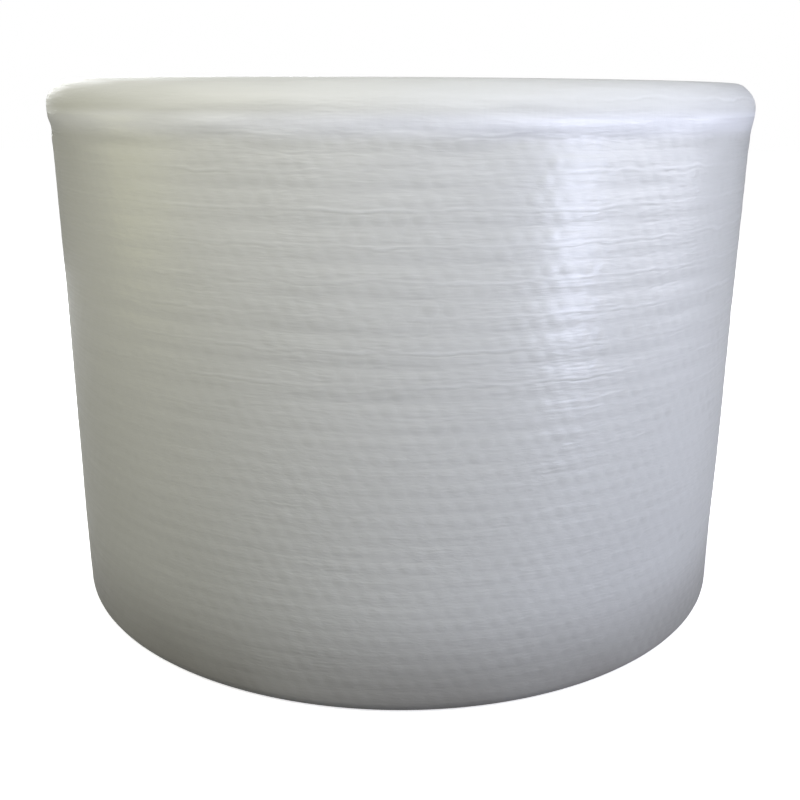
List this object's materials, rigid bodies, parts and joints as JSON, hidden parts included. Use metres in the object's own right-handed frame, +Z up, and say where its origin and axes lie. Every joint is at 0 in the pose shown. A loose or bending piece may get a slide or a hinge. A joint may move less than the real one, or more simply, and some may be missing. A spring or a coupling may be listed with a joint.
{
  "type": "bubble wrap roll",
  "caption": "Upright roll of clear small-bubble cushioning film wound on a cardboard tube, with rows of bubbles round its wall and a soft flared upper edge.",
  "frame": {"origin": "on the axis of the core's bore, in the plane of the foot that the roll stands on", "axes": "+Z up along the core's bore, -Y the front that the picture shows; the free edge of the film is at the back, +Y"},
  "size_m": [0.5094, 0.5116, 0.375],
  "materials": {
    "film": "clear polyethylene bubble film, many turns deep, so it reads as milky white",
    "core_board": "plain spirally wound brown board"
  },
  "bodies": {
    "root": {"wound_web": "film", "core_tube": "core_board"}
  },
  "joints": []
}
